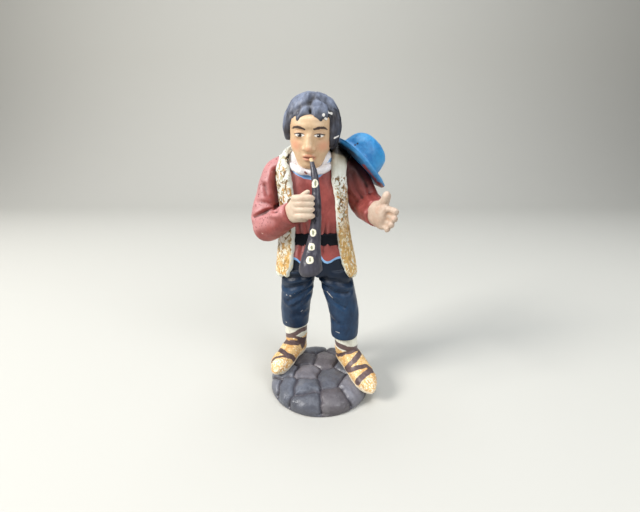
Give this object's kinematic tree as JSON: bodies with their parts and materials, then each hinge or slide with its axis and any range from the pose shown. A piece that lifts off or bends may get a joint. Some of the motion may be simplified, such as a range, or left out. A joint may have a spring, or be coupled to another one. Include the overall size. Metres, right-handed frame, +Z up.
{
  "type": "nativity shepherd figure",
  "caption": "Painted terracotta shepherd standing on a round cobbled base, playing a shawm, with a brimmed hat slung behind the shoulder.",
  "frame": {"origin": "middle of the round base, on its underside", "axes": "+Z up out of the base, -Y the way the shepherd faces, +X towards the shepherd's left hand"},
  "size_m": [0.0545, 0.0475, 0.1209],
  "materials": {
    "painted_clay": "satin paint over fired clay"
  },
  "bodies": {
    "root": {"figure": "painted_clay"}
  },
  "joints": []
}
